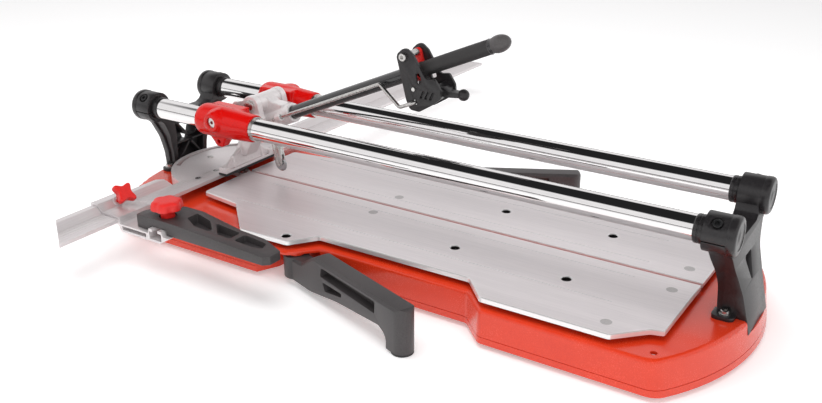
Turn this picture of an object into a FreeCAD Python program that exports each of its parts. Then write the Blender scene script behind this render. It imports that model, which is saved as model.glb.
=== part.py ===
"""Manual tile cutter with twin guide rails, in millimetres, +Z up.

The rails run along X, the scoring line is y = 0 and the bench is z = 0. The inner faces of the
right-hand rail collars are at x = 405. The user stands at -Y, and the fence lies across the left end.
"""
import math
import os

import FreeCAD
import Part

V = FreeCAD.Vector
UP = V(0, 0, 1)

# ---- driving dimensions -------------------------------------------------------------------
DECK = 49.0              # top of the base's deck
SKIRT = 6.0              # lower edge of the base's skirt
WALL = 4.0               # wall of the base
LOBE_Y = 174.0           # half width of the base's two lobes
WAIST_Y = 142.0          # half width of the base between the lobes
END_LOW_R = 277.0        # the round ends of the base, at the skirt's lower edge
END_TOP_R = 271.0        # and at the deck, as the ends lean in by their draft
RIGHT_C = 197.0          # centre of the right round end
LEFT_C = -165.0          # centre of the left round end

TABLE_TOP = 61.0         # what the tile lies on
TABLE_LOW = 55.0
SCREW_SPOTS = [(264, -72), (111, -69), (-90, -156)]

RAIL_Y = 67.5            # half the distance between the rails
RAIL_Z = 159.0
RAIL_R = 15.0
RAIL_HALF = 405.0        # inner face of the right collars
CLAMP_R = 22.0
CAP_R = CLAMP_R + 0.5
CLAMP_IN = 416.5         # the right clamps lie between these
CLAMP_OUT = 442.0
CAP_END = 452.0
RAIL_BORE_R = 12.5
LEFT_SHIFT = 15.0        # the left end is the right end mirrored and moved this far inwards
FIT = 0.05               # running clearance on a radius

PIVOT = (-252.0, 177.0)  # lever axle, x and z
TUBE_START = (-207.0, 164.5)
LEVER_TILT = math.radians(23.3)
TUBE_R = 9.5
WHEEL = (-228.0, 84.0)   # scoring wheel axle, x and z
WHEEL_R = 11.0
FOOT_PIN = (-278.0, 122.0)
TRIGGER_S = 238.5        # trigger axle, along the lever tube and above its axis
TRIGGER_N = 23.0

SWIVEL = (-303.0, 0.0)   # fence pivot, x and y
DISC_R = 108.0
RULER_NEAR = -305.0      # the two ends of the ruler's back edge
RULER_FAR = 745.0
STOP_NEAR = -246.0       # the two ends of the sliding stop
STOP_FAR = -193.0

ARM_PIVOT = (-75.0, 155.0)   # support arm pivots, x and |y|
ARM_REACH = 224.0
FRONT_ARM_TURN = -19.1
REAR_ARM_TURN = 28.0
POST_R = 13.5


# ---- shapes that many pieces use ----------------------------------------------------------
def face(points, place):
    """Flat face inside corner points; a third number in a point rounds that corner."""
    corners = []
    for index, point in enumerate(points):
        here = place(*point[:2])
        if len(point) == 2:
            corners.append([here])
            continue
        back = place(*points[index - 1][:2]).sub(here).normalize()
        ahead = place(*points[(index + 1) % len(points)][:2]).sub(here).normalize()
        half = back.getAngle(ahead) / 2
        inward = back.add(ahead).normalize()
        reach = point[2] / math.tan(half)
        crown = here + inward * (point[2] / math.sin(half) - point[2])
        corners.append([here + back * reach, crown, here + ahead * reach])
    edges = []
    for index, corner in enumerate(corners):
        if len(corner) == 3:
            edges.append(Part.Arc(*corner).toShape())
        following = corners[(index + 1) % len(corners)][0]
        if corner[-1].distanceToPoint(following) > 1e-6:
            edges.append(Part.makeLine(corner[-1], following))
    return Part.Face(Part.Wire(edges))


def plan(points, low, high):
    """Prism with its outline in x and y."""
    return face(points, lambda x, y: V(x, y, low)).extrude(V(0, 0, high - low))


def side(points, near, far):
    """Prism with its outline in x and z, between two y."""
    return face(points, lambda x, z: V(x, near, z)).extrude(V(0, far - near, 0))


def end(points, left, right):
    """Prism with its outline in y and z, between two x."""
    return face(points, lambda y, z: V(left, y, z)).extrude(V(right - left, 0, 0))


def block(x, y, z):
    return Part.makeBox(x[1] - x[0], y[1] - y[0], z[1] - z[0], V(x[0], y[0], z[0]))


def rod(start, finish, radius, bore=0.0):
    """Round bar or tube between two points."""
    run = V(*finish) - V(*start)
    bar = Part.makeCylinder(radius, run.Length, V(*start), run)
    if bore:
        bar = bar.cut(Part.makeCylinder(bore, run.Length, V(*start), run))
    return bar


def cone(start, finish, start_r, finish_r):
    run = V(*finish) - V(*start)
    return Part.makeCone(start_r, finish_r, run.Length, V(*start), run)


def union(*shapes):
    return shapes[0].multiFuse(list(shapes[1:])).removeSplitter()


def less(shape, *tools):
    return shape.cut(list(tools))


def mirror_y(shape):
    return shape.mirror(V(0, 0, 0), V(0, 1, 0))


def at_left(shape):
    """Carry a piece of the right end to the left end."""
    moved = shape.mirror(V(0, 0, 0), V(1, 0, 0))
    moved.translate(V(LEFT_SHIFT, 0, 0))
    return moved


def both_sides(shape):
    return [shape, mirror_y(shape)]


def on_lever(along, across, above):
    """Point beside the lever tube: along its axis, across in y, above the axis."""
    x = TUBE_START[0] + along * math.cos(LEVER_TILT) - above * math.sin(LEVER_TILT)
    z = TUBE_START[1] + along * math.sin(LEVER_TILT) + above * math.cos(LEVER_TILT)
    return (x, across, z)


def socket_screw(base, direction, head_r, head_h, shank_r, shank_h):
    """Cap screw with a hexagon socket; base is the middle of the head's underside."""
    way = V(*direction).normalize()
    start = V(*base)
    head = Part.makeCylinder(head_r, head_h, start, way)
    shank = Part.makeCylinder(shank_r, shank_h, start, way * -1)
    screw = union(head, shank)
    key = Part.makeCylinder(head_r * 0.5, head_h * 0.6, start + way * (head_h * 0.4), way)
    return screw.cut(key)


def save(name, *solids):
    """Write one node, as one solid or as a group of separate solids."""
    shape = solids[0] if len(solids) == 1 else Part.makeCompound(list(solids))
    shape.exportStep("parts/" + name + ".step")
    box = shape.BoundBox
    span = [round(v, 1) for v in (box.XMin, box.XMax, box.YMin, box.YMax, box.ZMin, box.ZMax)]
    print(name, len(shape.Solids), "solids", "ok" if shape.isValid() else "INVALID", span)
    return shape


os.makedirs("parts", exist_ok=True)

# ---- base ---------------------------------------------------------------------------------
FOOT_SPOTS = [(425, 95), (250, 150), (-170, 150), (-350, 130)]
FEET = [(x, y * way) for x, y in FOOT_SPOTS for way in (1, -1)]
FOOT_R = 15.0
CORNER_HOLE = (401.0, 156.0)   # through-holes in the deck's right corners, x and |y|
CORNER_HOLE_R = 4.0
BAR_SCREWS = (-250, 0, 250)
RIB_LOW = 18.0
RIB_HALF = 1.5
RIBS_X = (-306, -138, 30, 198, 366)
BOSS_LOW = 41.0          # the arms' pivot bosses hang from the deck down to this
SEAM = 0.8               # a fine groove round the skirt
SEAM_Z = 14.0
APRON_X = 462.5          # inner face and lower edge of the right tower's apron
APRON_LOW = 33.0
LEG_LOW = 38.0           # half width of the towers at the deck
FLANGE_TOP = DECK + 4.5
SCREW_SHANK_R = 2.5
TOWER_FLANGE_X = {1: 441.0, -1: 435.0}   # screws of each tower, before the left one is moved
FLANGE_Y = 42.0


def within_ends(shape, inset):
    """What lies inside the two round ends, which lean in towards the deck."""
    lean = (END_LOW_R - END_TOP_R) / (DECK - SKIRT)
    for centre, far in ((RIGHT_C, 600), (LEFT_C, -600)):
        dome = cone((centre, 0, SKIRT - 10), (centre, 0, DECK + 10), END_LOW_R + 10 * lean - inset,
                    END_TOP_R - 10 * lean - inset)
        beyond = block((min(centre, far), max(centre, far)), (-240, 240), (SKIRT - 5, DECK + 5))
        shape = shape.cut(beyond.cut(dome))
    return shape


def base_outline(low, high, inset=0.0):
    """Two lobes with round ends, joined by a narrower waist; a wall's thickness inwards if asked."""
    waist = WAIST_Y - inset
    lobe = LOBE_Y - inset
    lead = 0.41 * inset      # where inset walls meet along the slants
    right = plan([(0, -waist), (170 + lead, -waist, 8 + inset), (203 + lead, -lobe, 12 - inset), (480, -lobe),
                  (480, lobe), (203 + lead, lobe, 12 - inset), (170 + lead, waist, 8 + inset), (0, waist)],
                  low, high)
    left = plan([(0, -waist), (-46 - lead, -waist, 8 + inset), (-78 - lead, -lobe, 12 - inset), (-450, -lobe),
                 (-450, lobe), (-78 - lead, lobe, 12 - inset), (-46 - lead, waist, 8 + inset), (0, waist)],
                 low, high)
    shape = within_ends(union(right, left), inset)
    corners = []
    for edge in shape.Edges:
        ends = edge.Vertexes
        upright = len(ends) == 2 and abs(ends[0].Z - ends[1].Z) > 1
        if upright and abs(ends[0].X - 15) > 350 and abs(abs(ends[0].Y) - lobe) < 0.01:
            corners.append(edge)
    return shape.makeFillet(24 - inset, corners)


def arm_pocket(grow):
    """Room under the deck for the root of the front support arm."""
    return plan([(-136 - grow, -190), (-114 - grow, -144), (-114 - grow, -128 + grow),
                 (-46 + grow, -128 + grow), (-46 + grow, -190)], 0, DECK - 6 + min(grow, 0))


def apron_seat():
    """Notch in the right end of the skirt that the tower's apron fills."""
    return block((APRON_X - 0.05, 490), (-LEG_LOW - 0.2, LEG_LOW + 0.2), (APRON_LOW - 0.2, 60))


def base_shell():
    shape = base_outline(SKIRT, DECK)
    rim = [edge for edge in shape.Edges if all(abs(v.Z - DECK) < 0.01 for v in edge.Vertexes)]
    shape = shape.makeFillet(5, rim)
    groove = less(block((-500, 500), (-200, 200), (SEAM_Z, SEAM_Z + SEAM)), base_outline(SKIRT, DECK, SEAM))
    hollow = less(base_outline(SKIRT - 1, DECK - WALL, WALL), *both_sides(arm_pocket(WALL)))
    ribs = [block((x - RIB_HALF, x + RIB_HALF), (-180, 180), (RIB_LOW, DECK)) for x in RIBS_X]
    ribs += [rod((x, y, SKIRT), (x, y, DECK), 16) for x, y in FEET]
    shape = less(shape, groove, less(hollow, *ribs), *both_sides(arm_pocket(0)), apron_seat())
    pivots = both_sides(rod((ARM_PIVOT[0], -ARM_PIVOT[1], BOSS_LOW),
                            (ARM_PIVOT[0], -ARM_PIVOT[1], DECK - 5), 12))
    shape = union(shape, *pivots)
    holes = [rod((x, y, 0), (x, y, 16), 5) for x, y in FEET]
    for way in (-1, 1):
        pivot = (ARM_PIVOT[0], way * ARM_PIVOT[1])
        corner = (CORNER_HOLE[0], way * CORNER_HOLE[1])
        holes.append(rod((*pivot, 20), (*pivot, DECK - 2), 5))
        holes.append(rod((*corner, 0), (*corner, 60), CORNER_HOLE_R))
        holes += [rod((x, way * y, 36), (x, way * y, 60), 3) for x, y in SCREW_SPOTS]
        for tower_side, flange_x in TOWER_FLANGE_X.items():
            x = flange_x if tower_side == 1 else LEFT_SHIFT - flange_x
            holes.append(rod((x, way * FLANGE_Y, 36), (x, way * FLANGE_Y, 60), SCREW_SHANK_R))
    holes.append(rod((*SWIVEL, 30), (*SWIVEL, 60), 4))
    holes += [rod((x, 0, 30), (x, 0, 60), 2) for x in BAR_SCREWS]
    return less(shape, *holes)


def breaking_bar():
    """Thin ridge on a flat foot, standing in the slit between the two tables."""
    bar = end([(-8, DECK), (8, DECK), (8, 51.4), (1.4, 51.4), (1.4, 58.6, 1.2), (-1.4, 58.6, 1.2),
               (-1.4, 51.4),
               (-8, 51.4)], -286, 400)
    return less(bar, *[rod((x, 0, 40), (x, 0, 51), 2) for x in BAR_SCREWS])


def rubber_foot(x, y):
    pad = rod((x, y, 0), (x, y, SKIRT), FOOT_R)
    lower = [edge for edge in pad.Edges if all(abs(v.Z) < 0.01 for v in edge.Vertexes)]
    return union(pad.makeFillet(1.5, lower), rod((x, y, SKIRT), (x, y, 15), 4.9))


save("base_shell", base_shell())
save("breaking_bar", breaking_bar())
save("bar_screws", *[rod((x, 0, 36), (x, 0, 50.9), 1.9) for x in BAR_SCREWS])
save("base_feet", *[rubber_foot(x, y) for x, y in FEET])


# ---- sprung tables ------------------------------------------------------------------------
TABLE_OUTLINE = [(402, -2.5), (402, -128, 3), (388, -132, 8), (355, -166, 6), (200, -167, 6), (167, -132, 6),
                 (-53, -134, 6), (-78, -169, 6), (-155, -172, 8), (-219, -110, 8), (-287, -101, 5),
                 (-290, -2.5)]
DISC_SPOTS = [(377, -32), (342, -142), (-40, -32)]
CUSHION_SPOTS = [(330, -90), (110, -30), (110, -110), (-110, -60), (-240, -40), (-120, -130), (330, -25)]


def front_table():
    table = plan(TABLE_OUTLINE, TABLE_LOW, TABLE_TOP)
    rim = [e for e in table.Edges if all(abs(v.Z - TABLE_TOP) < 0.01 for v in e.Vertexes)]
    table = table.makeChamfer(0.8, rim)
    bosses = [rod((x, y, TABLE_LOW - 3), (x, y, TABLE_LOW), 9) for x, y in SCREW_SPOTS]
    table = union(table, *bosses)
    cuts = []
    for x, y in SCREW_SPOTS:
        cuts.append(rod((x, y, 50), (x, y, 62), 3.4))
        cuts.append(rod((x, y, 54), (x, y, 62), 5.2))
        cuts.append(cone((x, y, TABLE_TOP - 1.6), (x, y, TABLE_TOP + 0.1), 5.2, 7.0))
    cuts += [rod((x, y, TABLE_TOP - 2), (x, y, 62), 6.5) for x, y in DISC_SPOTS]
    for y in (-24, -96):
        cuts.append(block((-230, 330), (y - 0.4, y + 0.4), (TABLE_TOP - 0.35, 62)))
    return less(table, *cuts)


def table_discs():
    """Flush round plugs pressed into the table's top."""
    return [rod((x, y, TABLE_TOP - 2), (x, y, TABLE_TOP - 0.1), 6.5) for x, y in DISC_SPOTS]


def table_screws():
    """Shoulder screws that hold the table down against its cushions."""
    screws = []
    for x, y in SCREW_SPOTS:
        for way in (1, -1):
            screws.append(socket_screw((x, y * way, 54.1), (0, 0, 1), 4.8, 2.4, 3.0, 13))
    return screws


def cushions(way):
    return [rod((x, y * way, DECK), (x, y * way, TABLE_LOW), 7) for x, y in CUSHION_SPOTS]


save("front_table", front_table())
save("rear_table", mirror_y(front_table()))
save("front_table_discs", *table_discs())
save("rear_table_discs", *[mirror_y(disc) for disc in table_discs()])
save("table_screws", *table_screws())
save("front_table_cushions", *cushions(1))
save("rear_table_cushions", *cushions(-1))


# ---- towers and rails ---------------------------------------------------------------------
TOWER_TOP = 139.0
LEG = [(84, 150), (77, 141), (62, 131, 20), (47, 104, 40), (40, 78, 40), (LEG_LOW, DECK),
       (LEG_LOW, APRON_LOW)]
# Outer face of each tower, x and z, going down.
SKIN = {1: [(444, 142), (448, 110, 90), (457, 80, 60), (463, 56, 40), (465, DECK), (468.5, APRON_LOW)],
        -1: [(444, 142), (445, 110, 90), (445, 80), (444, DECK)]}
THROAT = [(CLAMP_IN, 152), (CLAMP_IN, 142), (420, 120, 80), (428, 90, 80), (430, DECK)]


def leg_outline(inset):
    """Both legs and the web between them, with the notch that the lever passes through."""
    outer = [(point[0] - inset, *point[1:]) for point in LEG]
    mirrored = [(-point[0], *point[1:]) for point in outer[::-1]]
    notch = [(-46, 152), (-42, 143, 6), (-34, TOWER_TOP, 6), (34, TOWER_TOP, 6), (42, 143, 6), (46, 152)]
    return outer + mirrored + notch


def tower(way):
    """One end tower, modelled at the right end; way is 1 for the right end and -1 for the left."""
    apron = [(APRON_X, APRON_LOW), (APRON_X, DECK)] if way == 1 else []
    section = [(CLAMP_OUT, 152)] + SKIN[way] + apron + THROAT[::-1]
    body = side(section, -100, 100)
    rim = body.common(end(leg_outline(0), 436, 480))
    inner = body.common(end(leg_outline(4), 410, 437))
    shape = union(rim, inner)
    pocket = end([(-26, 58, 4), (26, 58, 4), (29, 100, 20), (38, 128, 4), (-38, 128, 4), (-29, 100, 20)],
                 400, 441)
    ribs = [end([(-60, 88), (60, 88), (60, 91), (-60, 91)], 400, 460)]
    ribs += both_sides(end([(-4, 91), (0, 91), (40, 130), (36, 130)], 400, 460))
    ribs += both_sides(end([(-2, 88), (2, 88), (-26, 56), (-30, 56)], 400, 460))
    shape = less(shape, less(pocket, *ribs))
    window = end([(-13, 114, 3), (13, 114, 3), (0, 78, 3)], 400, 480)
    shape = less(shape, window)
    clamps = both_sides(rail_clamp())
    flange_x = TOWER_FLANGE_X[way]
    reach = 11.5 if way == 1 else 9
    back = 14 if way == 1 else 9
    foot = plan([(flange_x - back, -51, 7), (flange_x + reach, -51, 7), (flange_x + reach, -30),
                 (flange_x - back, -30)],
                DECK, FLANGE_TOP)
    shape = union(shape, *clamps, *both_sides(foot))
    cuts = []
    for sign in (1, -1):
        cuts.append(rod((400, sign * RAIL_Y, RAIL_Z), (460, sign * RAIL_Y, RAIL_Z), RAIL_R))
        spot = (flange_x, sign * FLANGE_Y)
        cuts.append(rod((CLAMP_OUT, sign * RAIL_Y, RAIL_Z), (CAP_END + 8, sign * RAIL_Y, RAIL_Z), CAP_R))
        cuts.append(rod((*spot, DECK), (*spot, FLANGE_TOP), SCREW_SHANK_R))
        # room for the screw's head beside the leg
        cuts.append(rod((*spot, FLANGE_TOP), (*spot, FLANGE_TOP + 8), 5.8))
    cuts.append(clamp_recess(-1))
    cuts.append(clamp_recess(1))
    # a slit on the outer side lets each clamp close on its rail
    cuts += both_sides(block((CLAMP_IN - 1, CLAMP_OUT + 1), (-RAIL_Y - CLAMP_R - 1, -RAIL_Y - RAIL_R + 1),
                             (RAIL_Z - 5.5, RAIL_Z - 4)))
    return less(shape, *cuts)


CLAMP_SCREW_X = 430.0
CLAMP_SCREW_RISE = math.radians(48)


def rail_clamp():
    """Split ring round the front rail's end, with a hollow below its screw's seat."""
    ring = rod((CLAMP_IN, -RAIL_Y, RAIL_Z), (CLAMP_OUT, -RAIL_Y, RAIL_Z), CLAMP_R)
    hollow = rod((CLAMP_SCREW_X, -RAIL_Y - 34, RAIL_Z - 22), (CLAMP_SCREW_X, -RAIL_Y + 6, RAIL_Z - 35), 12.5)
    return less(ring, hollow)


def clamp_way(sign):
    """Direction from a rail's axis out to its clamp screw."""
    return (0, sign * math.cos(CLAMP_SCREW_RISE), math.sin(CLAMP_SCREW_RISE))


def clamp_point(sign, distance):
    way = clamp_way(sign)
    return (CLAMP_SCREW_X, sign * RAIL_Y + way[1] * distance, RAIL_Z + way[2] * distance)


def clamp_recess(sign):
    head = rod(clamp_point(sign, 19), clamp_point(sign, 26), 7)
    return union(head, rod(clamp_point(sign, 12), clamp_point(sign, 20), 2.5))


def rail_screws():
    screws = []
    for sign in (1, -1):
        screw = socket_screw(clamp_point(sign, 19), clamp_way(sign), 5.0, 3.5, 2.5, 3.9)
        screws += [screw, at_left(screw)]
    return screws


def tower_screws():
    screws = []
    for sign in (1, -1):
        for way, x in TOWER_FLANGE_X.items():
            screw = socket_screw((x, sign * FLANGE_Y, FLANGE_TOP), (0, 0, 1), 5.0, 4.0, SCREW_SHANK_R, 16)
            screws.append(screw if way == 1 else at_left(screw))
    return screws


def four_ends(shape):
    """The same piece at all four rail ends."""
    front = [shape, at_left(shape)]
    return front + [mirror_y(piece) for piece in front]


def end_cap():
    cap = rod((CLAMP_OUT, -RAIL_Y, RAIL_Z), (CAP_END, -RAIL_Y, RAIL_Z), CAP_R)
    outer = [edge for edge in cap.Edges if all(abs(v.X - CAP_END) < 0.01 for v in edge.Vertexes)]
    plug = rod((CLAMP_OUT - 12, -RAIL_Y, RAIL_Z), (CLAMP_OUT, -RAIL_Y, RAIL_Z), RAIL_BORE_R)
    return union(cap.makeFillet(4, outer), plug)


def collar():
    ring = rod((RAIL_HALF, -RAIL_Y, RAIL_Z), (CLAMP_IN, -RAIL_Y, RAIL_Z), 20)
    inner = [edge for edge in ring.Edges if all(abs(v.X - RAIL_HALF) < 0.01 for v in edge.Vertexes)]
    bore = rod((RAIL_HALF, -RAIL_Y, RAIL_Z), (CLAMP_IN, -RAIL_Y, RAIL_Z), RAIL_R)
    return less(ring.makeFillet(1.5, inner), bore)


def rail(sign):
    left_end = LEFT_SHIFT - CLAMP_OUT
    return rod((left_end, sign * RAIL_Y, RAIL_Z), (CLAMP_OUT, sign * RAIL_Y, RAIL_Z), RAIL_R, RAIL_BORE_R)


save("right_tower", tower(1))
save("left_tower", at_left(tower(-1)))
save("tower_screws", *tower_screws())
save("front_rail", rail(-1))
save("rear_rail", rail(1))
save("rail_collars", *four_ends(collar()))
save("rail_end_caps", *four_ends(end_cap()))
save("rail_clamp_screws", *rail_screws())


# ---- carriage -----------------------------------------------------------------------------
GLIDE_R = 23.0
GLIDE_LEFT = -311.0
TAPER_FROM = -268.0       # from here the shell narrows to its right end
GLIDE_RIGHT = -212.0
NECK_R = 19.2
EYE = (-272.0, RAIL_Z + 5)   # the adjuster's boss, x and z
LUG = (-275.0, 132.0)        # the lug's hole, x and z
BRIDGE_Y = 43.5          # where each glide meets the bridge casting
BOLT_X = (-292, -240)
BOLT_Z = 155.0
BUSH_R = 17.2
CHEEK_IN = 22.0          # the lever's barrel turns between the cheeks
CHEEK_OUT = 32.0


def front_glide():
    """Die-cast housing that rides on the front rail on two bushings."""
    steps = [(GLIDE_LEFT, 19.5), (GLIDE_LEFT + 1.5, 21.6), (GLIDE_LEFT + 4.6, GLIDE_R), (TAPER_FROM, GLIDE_R),
             (GLIDE_RIGHT, NECK_R)]
    rings = []
    for (left, left_r), (right, right_r) in zip(steps, steps[1:]):
        if left_r == right_r:
            rings.append(rod((left, -RAIL_Y, RAIL_Z), (right, -RAIL_Y, RAIL_Z), left_r))
        else:
            rings.append(cone((left, -RAIL_Y, RAIL_Z), (right, -RAIL_Y, RAIL_Z), left_r, right_r))
    boss = cone((EYE[0], -RAIL_Y - 14, EYE[1]), (EYE[0], -RAIL_Y - 26, EYE[1]), 16, 12.5)
    lug = side([(LUG[0] - 18, 144), (LUG[0] - 8, LUG[1] - 4), (LUG[0] - 4, LUG[1] - 9, 3),
                (LUG[0] + 4, LUG[1] - 9, 3),
                (LUG[0] + 20, 144)], -RAIL_Y - 8, -RAIL_Y + 6)
    shoulder = side([(-306, 150), (-236, 150), (-240, 180, 6), (-300, 180, 6)], -RAIL_Y, -BRIDGE_Y)
    body = union(*rings, boss, lug, shoulder)
    inner_side = block((-340, -200), (-BRIDGE_Y, -30), (120, 200))
    bore = rod((-340, -RAIL_Y, RAIL_Z), (-200, -RAIL_Y, RAIL_Z), BUSH_R)
    eye = rod((EYE[0], -RAIL_Y - 40, EYE[1]), (EYE[0], -RAIL_Y - 19, EYE[1]), 7.5)
    hole = rod((LUG[0], -120, LUG[1]), (LUG[0], 0, LUG[1]), 3.2)
    bolts = [rod((x, -52, BOLT_Z), (x, -40, BOLT_Z), 3) for x in BOLT_X]
    return less(body, inner_side, bore, eye, hole, *bolts)


def bushing(left, right):
    return rod((left, -RAIL_Y, RAIL_Z), (right, -RAIL_Y, RAIL_Z), BUSH_R, RAIL_R + FIT)


def carriage_casting():
    """Bridge between the glides: two cheeks for the lever, a cross bar and two ears for the foot."""
    arm = side([(-306, 140, 4), (-268, 140, 4), (-232, 147, 4), (-232, 160, 4), (-238, 166), (-268, 168),
                (-306, 158, 4)], -BRIDGE_Y, -CHEEK_IN)
    cheek = union(rod((PIVOT[0], -CHEEK_OUT, PIVOT[1]), (PIVOT[0], -CHEEK_IN, PIVOT[1]), 14),
                  side([(-300, 150), (-232, 150), (-238.5, 181), (-262, 187)], -CHEEK_OUT, -CHEEK_IN))
    rib = side([(-300, 158), (-285, 158), (-268, 182), (-275, 182)], -40, -CHEEK_OUT)
    ear = side([(-294, 142), (-266, 142), (-266.5, 122), (-270, 113.5, 6), (-286, 113.5, 6), (-289.5, 122)],
               -21, -13.2)
    cross = block((-306, -290), (-BRIDGE_Y, BRIDGE_Y), (134, 150))
    shape = union(cross, *both_sides(arm), *both_sides(cheek), *both_sides(rib), *both_sides(ear))
    joint = block((-306, -262), (-CHEEK_IN - 1, -13.2), (136, 146))
    shape = union(shape, *both_sides(joint))
    cuts = [rod((PIVOT[0], -50, PIVOT[1]), (PIVOT[0], 50, PIVOT[1]), 6)]
    cuts.append(rod((FOOT_PIN[0], -30, FOOT_PIN[1]), (FOOT_PIN[0], 30, FOOT_PIN[1]), 4))
    for x in BOLT_X:
        cuts += both_sides(rod((x, -50, BOLT_Z), (x, -33, BOLT_Z), 3))
    return less(shape, *cuts)


def pivot_bolt():
    shank = rod((PIVOT[0], -CHEEK_OUT - 1, PIVOT[1]), (PIVOT[0], CHEEK_OUT + 1, PIVOT[1]), 6)
    cap = rod((PIVOT[0], -CHEEK_OUT - 5, PIVOT[1]), (PIVOT[0], -CHEEK_OUT, PIVOT[1]), 8)
    return union(shank, cap, mirror_y(cap))


save("front_glide", front_glide())
save("rear_glide", mirror_y(front_glide()))
bushes = [bushing(GLIDE_LEFT + 3, GLIDE_LEFT + 23), bushing(-230, GLIDE_RIGHT + 3)]
save("glide_bushings", *bushes, *[mirror_y(bush) for bush in bushes])
adjuster = rod((EYE[0], -RAIL_Y - 23.5, EYE[1]), (EYE[0], -RAIL_Y - 19, EYE[1]), 7.4, 2.5)
save("glide_adjusters", *both_sides(adjuster))
save("carriage_casting", carriage_casting())
glide_bolts = [rod((x, -50, BOLT_Z), (x, -34, BOLT_Z), 2.9) for x in BOLT_X]
save("glide_bolts", *glide_bolts, *[mirror_y(bolt) for bolt in glide_bolts])
save("lever_pivot_bolt", pivot_bolt())


# ---- lever --------------------------------------------------------------------------------
GRIP_START = 243.0
GRIP_END = 351.0
BALL_AT = 364.0


def lever_casting():
    """Barrel on the pivot, socket for the tube and the arm that carries the wheel holder."""
    barrel = rod((PIVOT[0], -CHEEK_IN + 0.4, PIVOT[1]), (PIVOT[0], CHEEK_IN - 0.4, PIVOT[1]), 13)
    socket = rod(on_lever(-40, 0, 0), on_lever(10, 0, 0), 14)
    arm = side([(-262, 178), (-246, 118, 5), (-231, 118, 5), (-228, 166)], -9, 9)
    web = side([(-250, 190), (-232, 180), (-214, 178), (-222, 150), (-236, 140), (-258, 170)], -9, 9)
    guide = union(rod(on_lever(-12, -16, 0), on_lever(-2, -16, 0), 5.5), side(
        [on_lever(-12, 0, -5)[::2], on_lever(-2, 0, -5)[::2], on_lever(-2, 0, 5)[::2],
         on_lever(-12, 0, 5)[::2]], -16, 0))
    shape = union(barrel, socket, arm, web, guide)
    tube_seat = rod(on_lever(-20, 0, 0), on_lever(30, 0, 0), TUBE_R)
    pivot_bore = rod((PIVOT[0], -30, PIVOT[1]), (PIVOT[0], 30, PIVOT[1]), 6 + FIT)
    rod_bore = rod(on_lever(-40, -16, 0), on_lever(30, -16, 0), 2.6)
    slot = block((-262, -226), (-4.5, 4.5), (100, 134))
    screw_hole = rod((-240, -20, 125), (-240, 20, 125), 2.5)
    return less(shape, tube_seat, pivot_bore, rod_bore, slot, screw_hole)


def wheel_holder():
    """Steel tongue that is clamped in the lever casting and forks over the wheel."""
    tongue = side([(-245, 133), (-233, 133), (-223.5, 96), (-222.5, 84, 4), (-232.5, 78.5, 4),
                   (-235.5, 90)], -4.4, 4.4)
    wheel_gap = block((-250, -205), (-1.9, 1.9), (60, 99))
    axle_bore = rod((WHEEL[0], -10, WHEEL[1]), (WHEEL[0], 10, WHEEL[1]), 2.5)
    screw_hole = rod((-240, -20, 125), (-240, 20, 125), 2.5)
    return less(tongue, wheel_gap, axle_bore, screw_hole)


def scoring_wheel():
    """Carbide disc with a sharp rim."""
    disc = rod((WHEEL[0], -1.5, WHEEL[1]), (WHEEL[0], 1.5, WHEEL[1]), WHEEL_R - 2)
    bevels = both_sides(cone((WHEEL[0], 0, WHEEL[1]), (WHEEL[0], -1.5, WHEEL[1]), WHEEL_R, WHEEL_R - 2))
    return less(union(disc, *bevels), rod((WHEEL[0], -5, WHEEL[1]), (WHEEL[0], 5, WHEEL[1]), 2.5 + FIT))


def grip():
    body = rod(on_lever(GRIP_START, 0, 0), on_lever(GRIP_END, 0, 0), 15)
    flange = rod(on_lever(GRIP_START, 0, 0), on_lever(GRIP_START + 4, 0, 0), 15.8)
    return less(union(body, flange), rod(on_lever(230, 0, 0), on_lever(360, 0, 0), TUBE_R))


def grip_end():
    ball = Part.makeSphere(16, V(*on_lever(BALL_AT, 0, 0)))
    ball = ball.common(rod(on_lever(GRIP_END, 0, 0), on_lever(400, 0, 0), 20))
    return less(ball, rod(on_lever(340, 0, 0), on_lever(360, 0, 0), TUBE_R))


def tube_collar():
    """Red clamp ring on the tube, with two lugs that hold the trigger's axle."""
    ring = rod(on_lever(226, 0, 0), on_lever(241, 0, 0), 12.5)
    lug = union(rod(on_lever(TRIGGER_S, -15.5, TRIGGER_N), on_lever(TRIGGER_S, -10, TRIGGER_N), 5.5), side(
        [on_lever(227, 0, 0)[::2], on_lever(241, 0, 0)[::2], on_lever(244, 0, 23)[::2],
         on_lever(233, 0, 23)[::2]],
        -15.5, -10))
    shape = union(ring, *both_sides(lug))
    axle = rod(on_lever(TRIGGER_S, -30, TRIGGER_N), on_lever(TRIGGER_S, 30, TRIGGER_N), 2.5 + FIT)
    return less(shape, rod(on_lever(200, 0, 0), on_lever(260, 0, 0), TUBE_R), axle)


def square_to_y(point, near, far, radius, bore=0.0):
    """Round bar across the machine through a point beside the lever."""
    return rod((point[0], near, point[2]), (point[0], far, point[2]), radius, bore)


def lever_tube():
    return rod(on_lever(-20, 0, 0), on_lever(360, 0, 0), TUBE_R, TUBE_R - 2)


save("lever_casting", lever_casting())
save("lever_tube", lever_tube())
save("grip", grip())
save("grip_end", grip_end())
save("tube_collar", tube_collar())
save("wheel_holder", wheel_holder())
save("holder_screw", union(rod((-240, -9, 125), (-240, 9, 125), 2.5),
                           rod((-240, -12, 125), (-240, -9, 125), 4.5)))
save("wheel_axle", rod((WHEEL[0], -5.4, WHEEL[1]), (WHEEL[0], 5.4, WHEEL[1]), 2.5))
save("scoring_wheel", scoring_wheel())


# ---- trigger and its rod ------------------------------------------------------------------
ROD_R = 2.5
ROD_Y = -16.0
HOOK = (231.0, -36.0)    # where the rod enters the trigger, along and above the tube's axis
STOP_PIN = (236.0, 0.0, -19.6)   # on the lever: along, across, above


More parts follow.
